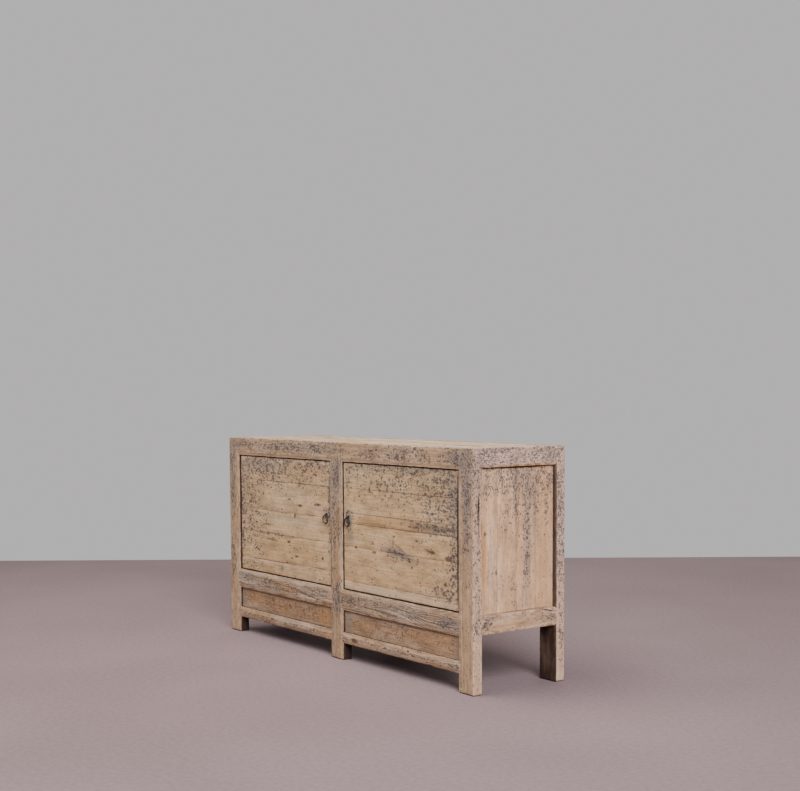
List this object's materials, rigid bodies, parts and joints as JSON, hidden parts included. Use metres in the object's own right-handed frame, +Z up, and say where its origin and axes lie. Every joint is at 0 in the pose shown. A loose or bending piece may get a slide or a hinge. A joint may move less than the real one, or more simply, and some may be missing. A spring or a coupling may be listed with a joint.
{
  "type": "sideboard",
  "caption": "Low sideboard with a mitred frame, inset plank doors on hidden pivots, iron ring pulls and open legs.",
  "frame": {"origin": "on the floor under the middle of the case's whole depth, ring eyes included", "axes": "+X to the right along the front, +Y to the back, +Z up"},
  "size_m": [1.7, 0.4342, 0.86],
  "materials": {
    "frame_wood": "dry worn softwood with grey residue of old paint",
    "end_wood": "dry worn softwood, pinkish beige",
    "top_wood": "pale worn softwood",
    "door_wood": "dry worn softwood boards",
    "panel_wood": "ochre stained softwood",
    "inner_wood": "raw unfinished softwood",
    "iron": "dark forged iron, dull"
  },
  "bodies": {
    "root": {"post_front_left": "frame_wood", "post_front_right": "frame_wood", "post_front_centre": "frame_wood", "post_rear_left": "frame_wood", "post_rear_right": "frame_wood", "post_rear_centre": "frame_wood", "top_rail_front": "frame_wood", "top_rail_rear": "frame_wood", "top_rail_left": "end_wood", "top_rail_right": "end_wood", "top_board_1": "top_wood", "top_board_2": "top_wood", "top_board_3": "top_wood", "top_board_4": "top_wood", "top_battens": "inner_wood", "middle_rail_left": "frame_wood", "middle_rail_right": "frame_wood", "bottom_rail_left": "frame_wood", "bottom_rail_right": "frame_wood", "lower_panel_left": "panel_wood", "lower_panel_right": "panel_wood", "end_rail_left": "end_wood", "end_rail_right": "end_wood", "end_boards_left": "end_wood", "end_boards_right": "end_wood", "rear_rail_left": "frame_wood", "rear_rail_right": "frame_wood", "back_boards_left": "inner_wood", "back_boards_right": "inner_wood", "floor_bearers": "inner_wood", "floor_boards": "inner_wood", "shelf_bearers": "inner_wood", "shelf_boards": "inner_wood", "door_stops": "inner_wood"},
    "left_door": {"left_door_board_1": "door_wood", "left_door_board_2": "door_wood", "left_door_board_3": "door_wood", "left_door_board_4": "door_wood", "left_door_board_5": "door_wood", "left_door_ledge_hinge": "inner_wood", "left_door_ledge_pull": "inner_wood", "left_door_pins": "iron", "left_pull_eye": "iron", "left_pull_washer": "iron"},
    "left_ring": {"left_pull_ring": "iron"},
    "right_door": {"right_door_board_1": "door_wood", "right_door_board_2": "door_wood", "right_door_board_3": "door_wood", "right_door_board_4": "door_wood", "right_door_board_5": "door_wood", "right_door_ledge_hinge": "inner_wood", "right_door_ledge_pull": "inner_wood", "right_door_pins": "iron", "right_pull_eye": "iron", "right_pull_washer": "iron"},
    "right_ring": {"right_pull_ring": "iron"}
  },
  "joints": [
    {"name": "left_door_hinge", "type": "hinge", "parent": "root", "child": "left_door", "pos_m": [-0.754, -0.19795, 0.533], "axis": [0, 0, -1], "range_deg": [0, 100]},
    {"name": "left_ring_swing", "type": "hinge", "parent": "left_door", "child": "left_ring", "pos_m": [-0.077, -0.21245, 0.566], "axis": [-1, 0, 0], "range_deg": [-4, 170]},
    {"name": "right_door_hinge", "type": "hinge", "parent": "root", "child": "right_door", "pos_m": [0.754, -0.19795, 0.533], "axis": [0, 0, 1], "range_deg": [0, 100]},
    {"name": "right_ring_swing", "type": "hinge", "parent": "right_door", "child": "right_ring", "pos_m": [0.077, -0.21245, 0.566], "axis": [-1, 0, 0], "range_deg": [-4, 170]}
  ]
}
